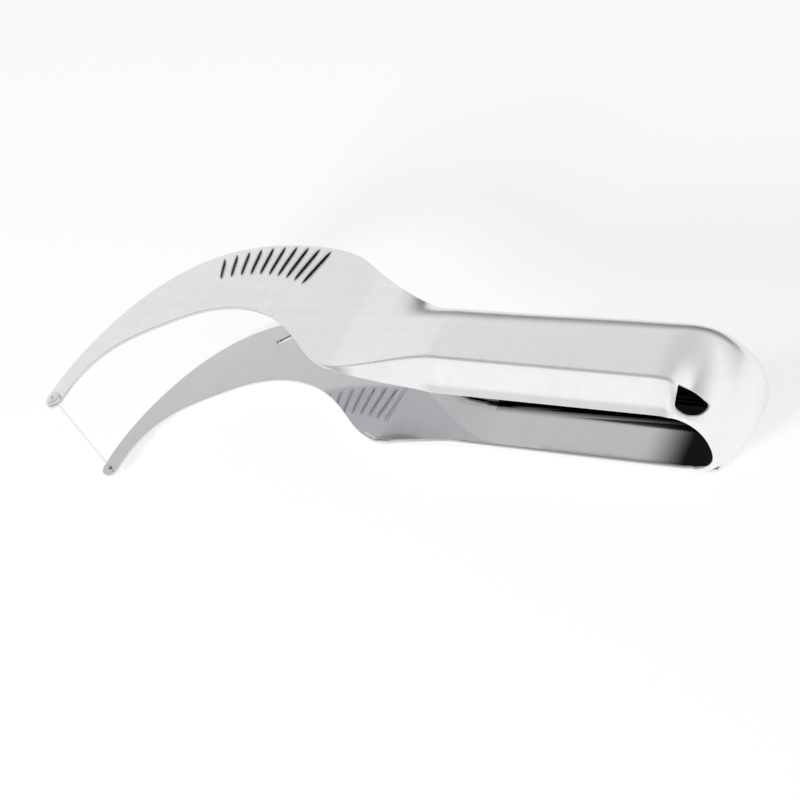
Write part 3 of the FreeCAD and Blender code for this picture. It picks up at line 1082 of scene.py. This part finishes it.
@dataclass(frozen=True)
class SteelFinish:
    """Pressed stainless sheet with fine rolling lines, faint waves and small scuffs."""

    name: str
    tone: tuple[float, float, float]
    roughness: Pair
    lines: float = 0.0000006
    waves: float = 0.00002
    scuffs: float = 0.02
    metallic: float = 1.0
    painted_shade: bool = False
    roof_front: Pair = (18.5, 19.5)
    roof_side: Pair = (7.5, 11.5)
    tail_reach: Pair = (72.0, 89.0)
    darkest: float = 0.015

    def shade(self, bench: NodeBench) -> bpy.types.NodeSocket:
        """Paint shade into the steel's colour by its place: nearly black under the folded roof and inside the
        tail.
        """
        roof = bench.reckon("MULTIPLY", bench.fade("X", *self.roof_front, 0.0),
                            bench.fade("Y", *self.roof_side, 0.0))
        bright = bench.reckon("MULTIPLY", bench.reckon("SUBTRACT", 1.0, roof),
                              bench.fade("X", *self.tail_reach))
        return bench.reckon("MAXIMUM", bright, self.darkest)

    def make(self) -> bpy.types.Material:
        """Make the finish.

        Returns:
            The material.
        """
        bench = NodeBench(self.name)
        shader = bench.shader
        shader.inputs["Metallic"].default_value = self.metallic
        rolled = bench.noise(520.0, 1.0, (0.06, 1.0, 1.0))
        cloud = bench.noise(38.0, 3.0)
        wave = bench.noise(22.0, 1.0)
        scratch = bench.noise(260.0, 4.0, (1.0, 0.2, 0.5))
        patch = bench.ramp(cloud, 1.0 - self.scuffs, 1.0)
        worn = bench.ramp(scratch, 1.0 - self.scuffs, 1.0, 0.62, 0.5)
        both = bench.reckon("MULTIPLY", patch, worn)
        # painted shade: the colour darkens under the folded roof and inside the tail
        if self.painted_shade:
            both = bench.reckon("MULTIPLY", both, self.shade(bench))
        tone = bench.add("ShaderNodeMix", data_type="RGBA", blend_type="MULTIPLY")
        tone.inputs["Factor"].default_value = 1.0
        tone.inputs["A"].default_value = (*self.tone, 1.0)
        bench.tie(both, tone.inputs["B"])
        bench.tie(tone.outputs["Result"], shader.inputs["Base Color"])
        grain = bench.ramp(rolled, self.roughness[0], self.roughness[1])
        bench.tie(grain, shader.inputs["Roughness"])
        surface = bench.bump(wave, self.waves)
        bench.tie(bench.bump(rolled, self.lines, surface), shader.inputs["Normal"])
        return bench.material


@dataclass(frozen=True)
class SheetFinishes:
    """The four finishes of the sheet: outside, polished inside with painted shade under the roof and in the
    tail, cut edge, and a nearly black painted shade for the hollow of the louvres.
    """

    outside: SteelFinish = SteelFinish("satin_steel", (0.95, 0.95, 0.96), (0.26, 0.3), 0.0000002)
    # polished inside, with painted shade under the roof and in the tail
    inner: SteelFinish = SteelFinish("polished_steel_with_painted_shade", (0.66, 0.665, 0.68), (0.05, 0.08), painted_shade=True)
    edge: SteelFinish = SteelFinish("sheared_edge", (0.8, 0.8, 0.81), (0.2, 0.28))
    # nearly black painted shade for the hollow of the louvres
    mouth_shade: SteelFinish = SteelFinish("louvre_mouth_painted_shade", (0.02, 0.02, 0.022), (0.35, 0.5))

    def make(self) -> list[bpy.types.Material]:
        """Make the finishes in the order of the sheet's zones."""
        return [self.outside.make(), self.inner.make(), self.edge.make(), self.mouth_shade.make()]


@dataclass(frozen=True)
class CuttingWire:
    """Thin drawn wire, strung between the tips through their holes."""

    sizes: SlicerSizes = SlicerSizes()
    thickness: float = 0.6
    sides: int = 20
    slack: float = 0.22
    finish: SteelFinish = SteelFinish("drawn_wire", (0.93, 0.93, 0.94), (0.3, 0.4), waves=0.0)

    def build(self) -> bpy.types.Object:
        """Build the wire from stud to stud.

        Returns:
            The new object.
        """
        s = self.sizes
        cx, cy = s.tip_centre
        low, high = s.head_inset - 0.2, s.grip_width - s.head_inset + 0.2
        levels = [mix(low, high, k / 24.0) for k in range(25)]
        radius = self.thickness / 2.0
        points = [Vector((cx + radius * math.cos(2 * math.pi * k / self.sides),
                          cy + radius * math.sin(2 * math.pi * k / self.sides), z)) * MM
                  for z in levels for k in range(self.sides)]
        faces = [(a * self.sides + k, a * self.sides + (k + 1) % self.sides,
                  (a + 1) * self.sides + (k + 1) % self.sides, (a + 1) * self.sides + k)
                 for a in range(len(levels) - 1) for k in range(self.sides)]
        faces += [tuple(reversed(range(self.sides))), tuple(range(len(points) - self.sides, len(points)))]
        mesh = bpy.data.meshes.new("strung_wire")
        mesh.from_pydata(points, [], faces)
        mesh.shade_smooth()
        obj = bpy.data.objects.new("strung_wire", mesh)
        bpy.context.scene.collection.objects.link(obj)
        obj.data.materials.append(self.finish.make())
        return obj

    def join(self, obj: bpy.types.Object) -> None:
        """Let the wire ride on the left arm in place of its solid."""
        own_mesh(obj)
        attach(obj, "left_side")
        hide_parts("cutting_wire")


@dataclass(frozen=True)
class WireStud:
    """Small turned head that ties the wire down on the outside of a tip."""

    half: Half
    sizes: SlicerSizes = SlicerSizes()
    radius: float = 2.5
    height: float = 1.0
    crown: float = 0.3
    dimple: float = 0.55
    shoulder: Pair = (0.35, 0.3)
    fall: float = 0.15
    sides: int = 48
    finish: SteelFinish = SteelFinish("turned_stud", (0.88, 0.88, 0.89), (0.24, 0.32), waves=0.0)

    def profile(self) -> list[Pair]:
        """Outline of the head as radius and height over the sheet, from its edge to the middle."""
        inwards, upwards = self.shoulder
        start = self.height - self.crown - self.fall
        edge = [(self.radius, 0.0), (self.radius, start)]
        for k in range(1, 7):
            a = 0.5 * math.pi * k / 6.0
            edge.append((self.radius - inwards * (1.0 - math.cos(a)), start + upwards * math.sin(a)))
        top = self.radius - inwards
        edge += [(top * (1.0 - k / 6.0) + self.dimple * k / 6.0,
                  self.height - self.fall * (1.0 - k / 6.0) ** 2) for k in range(1, 7)]
        return edge + [(self.dimple * 0.9, self.height - 0.12), (self.dimple * 0.5, self.height - 0.2),
                       (0.0, self.height - 0.22)]

    def build(self) -> bpy.types.Object:
        """Build the head on its side of the tool.

        Returns:
            The new object.
        """
        s = self.sizes
        cx, cy = s.tip_centre
        points: list[Vector] = []
        faces: list[tuple[int, ...]] = []
        profile = self.profile()
        for r, h in profile[:-1]:
            for k in range(self.sides):
                a = 2.0 * math.pi * k / self.sides
                z = s.head_inset - h
                if self.half is Half.LEFT:
                    z = s.grip_width - z
                points.append(Vector((cx + r * math.cos(a), cy + r * math.sin(a), z)) * MM)
        end = s.head_inset - profile[-1][1]
        points.append(Vector((cx, cy, end if self.half is Half.RIGHT else s.grip_width - end)) * MM)
        n = self.sides
        for a in range(len(profile) - 2):
            faces += [(a * n + k, a * n + (k + 1) % n, (a + 1) * n + (k + 1) % n, (a + 1) * n + k)
                      for k in range(n)]
        last = (len(profile) - 2) * n
        faces += [(last + k, last + (k + 1) % n, len(points) - 1) for k in range(n)]
        if self.half is Half.RIGHT:
            faces = [tuple(reversed(loop)) for loop in faces]
        mesh = bpy.data.meshes.new(f"{self.half.name.lower()}_stud")
        mesh.from_pydata(points, [], faces)
        mesh.shade_smooth()
        obj = bpy.data.objects.new(f"stud_{self.half.name.lower()}", mesh)
        bpy.context.scene.collection.objects.link(obj)
        obj.data.materials.append(self.finish.make())
        return obj

    def join(self, obj: bpy.types.Object) -> None:
        """Let the head ride on its arm in place of its solid."""
        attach(obj, self.half.value)
        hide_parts(f"{self.half.name.lower()}_wire_stud")


@dataclass(frozen=True)
class Studio:
    """Pale table, soft lamps and the camera."""

    sizes: SlicerSizes = SlicerSizes()
    aim: tuple[float, float, float] = (0.8, -5.55, 22.5)
    forward: tuple[float, float, float] = (-0.55438, 0.47746, -0.68168)
    right: tuple[float, float, float] = (0.82777, 0.40136, -0.39206)
    up: tuple[float, float, float] = (-0.0864, 0.78163, 0.61774)
    distance: float = 602.0
    lens: float = 88.60
    shift: Pair = (-0.00275, -0.0026)
    world_light: float = 0.35
    ceiling_way: tuple[float, float, float] = (0.0, -0.35, 0.94)
    wall_way: tuple[float, float, float] = (0.0, 0.9, -0.43)
    ceiling: tuple[Pair, ...] = ((0.37, 1.0), (0.47, 0.77), (0.56, 0.72), (0.8, 0.48))
    back_wall: tuple[Pair, ...] = ((0.18, 1.0), (0.75, 0.2))
    floor_reach: float = 0.6
    floor_colour: float = 0.92
    floor_glow: float = 0.8

    def camera(self) -> None:
        """Place the camera where the photograph was taken from."""
        data = bpy.data.cameras.new("camera")
        data.lens, data.sensor_width = self.lens, 36.0
        data.shift_x, data.shift_y = self.shift
        data.clip_start, data.clip_end = 0.01, 20.0
        camera = bpy.data.objects.new("camera", data)
        forward, right, up = Vector(self.forward), Vector(self.right), Vector(self.up)
        place = (Vector(self.aim) - forward * self.distance) * MM
        turn = Matrix((right, up, -forward)).transposed().to_4x4()
        camera.matrix_world = Matrix.Translation(place) @ turn
        bpy.context.scene.collection.objects.link(camera)
        bpy.context.scene.camera = camera

    def world(self) -> None:
        """Light the room softly, grade what the steel mirrors of it, and keep it white behind the tool."""
        world = bpy.data.worlds.new("studio")
        bpy.context.scene.world = world
        world.use_nodes = True
        tree = world.node_tree
        place = tree.nodes.new("ShaderNodeTexCoord").outputs["Generated"]
        rays = tree.nodes.new("ShaderNodeLightPath")
        level = tree.nodes.new("ShaderNodeMapRange")
        level.inputs["To Min"].default_value = self.world_light
        level.inputs["To Max"].default_value = 1.0
        tree.links.new(rays.outputs["Is Glossy Ray"], level.inputs["Value"])
        strength = level.outputs["Result"]
        for way, stops in ((self.ceiling_way, self.ceiling), (self.wall_way, self.back_wall)):
            side = tree.nodes.new("ShaderNodeVectorMath")
            side.operation = "DOT_PRODUCT"
            side.inputs[1].default_value = way
            tree.links.new(place, side.inputs[0])
            shade = tree.nodes.new("ShaderNodeValToRGB")
            steps = shade.color_ramp.elements
            for k, (where, grey) in enumerate(stops):
                step = steps[k] if k < 2 else steps.new(where)
                step.position, step.color = where, (grey, grey, grey, 1.0)
            tree.links.new(side.outputs["Value"], shade.inputs["Fac"])
            product = tree.nodes.new("ShaderNodeMath")
            product.operation = "MULTIPLY"
            tree.links.new(strength, product.inputs[0])
            tree.links.new(shade.outputs["Color"], product.inputs[1])
            strength = product.outputs[0]
        for kind in ("Is Camera Ray", "Is Transmission Ray"):
            seen = tree.nodes.new("ShaderNodeMath")
            seen.operation = "MAXIMUM"
            tree.links.new(strength, seen.inputs[0])
            tree.links.new(rays.outputs[kind], seen.inputs[1])
            strength = seen.outputs[0]
        tree.links.new(strength, tree.nodes["Background"].inputs["Strength"])
        tree.nodes["Background"].inputs["Color"].default_value = (1.0, 1.0, 1.0, 1.0)

    def floor(self) -> bpy.types.Object:
        """Lay the pale table under the tool.

        Returns:
            The table.
        """
        mesh = bpy.data.meshes.new("table")
        reach = self.floor_reach
        mesh.from_pydata([(-reach, -reach, 0), (reach, -reach, 0), (reach, reach, 0), (-reach, reach, 0)], [],
                         [(0, 1, 2, 3)])
        obj = bpy.data.objects.new("table", mesh)
        bpy.context.scene.collection.objects.link(obj)
        bench = NodeBench("pale_table")
        bench.shader.inputs["Roughness"].default_value = 0.9
        bench.shader.inputs["Specular IOR Level"].default_value = 0.0
        bench.shader.inputs["Base Color"].default_value = (*(self.floor_colour,) * 3, 1.0)
        rays = bench.add("ShaderNodeLightPath")
        seen = bench.reckon("MAXIMUM", rays.outputs["Is Camera Ray"], rays.outputs["Is Glossy Ray"])
        seen = bench.reckon("MAXIMUM", seen, rays.outputs["Is Transmission Ray"])
        glow = bench.add("ShaderNodeEmission", Strength=1.0)
        blend = bench.add("ShaderNodeMixShader")
        bench.tie(bench.reckon("MULTIPLY", seen, self.floor_glow), blend.inputs["Fac"])
        bench.tie(bench.shader.outputs[0], blend.inputs[1])
        bench.tie(glow.outputs[0], blend.inputs[2])
        bench.tie(blend.outputs[0], bench.tree.nodes["Material Output"].inputs["Surface"])
        obj.data.materials.append(bench.material)
        return obj

    def lamp(self, name: str, place: tuple[float, float, float], size: float, power: float) -> None:
        """Hang one soft lamp that faces the tool.

        Args:
            name: Name of the lamp.
            place: Its place in metres.
            size: Side of its square in metres.
            power: Its power in watts.
        """
        data = bpy.data.lights.new(name, "AREA")
        data.shape, data.size, data.energy = "SQUARE", size, power
        obj = bpy.data.objects.new(name, data)
        obj.matrix_world = (Matrix.Translation(Vector(place))
                            @ (-Vector(place)).to_track_quat("-Z", "Y").to_matrix().to_4x4())
        obj.visible_glossy = False
        bpy.context.scene.collection.objects.link(obj)

    def build(self) -> None:
        """Set up the whole studio."""
        self.camera()
        self.world()
        self.floor()
        self.lamp("front_softbox", (-0.3, -1.2, 0.6), 0.4, 31.0)
        self.lamp("top_softbox", (0.0, -0.4, 1.3), 1.2, 2.5)
        bpy.context.scene.view_settings.view_transform = "Standard"


def main() -> None:
    """Build the tool piece by piece, then the studio round it."""
    finishes = SheetFinishes().make()
    for half in Half:
        sheet = HalfSheet(half)
        obj = sheet.build()
        for material in finishes:
            obj.data.materials.append(material)
        sheet.join(obj)
        LOG.info("%s: %d faces", obj.name, len(obj.data.polygons))
    wire = CuttingWire()
    strung = wire.build()
    wire.join(strung)
    LOG.info("%s strung", strung.name)
    for half in Half:
        stud = WireStud(half)
        head = stud.build()
        stud.join(head)
        LOG.info("%s set", head.name)
    Studio().build()


if __name__ == "__main__":
    logging.basicConfig(level=logging.INFO, format="%(message)s")
    main()
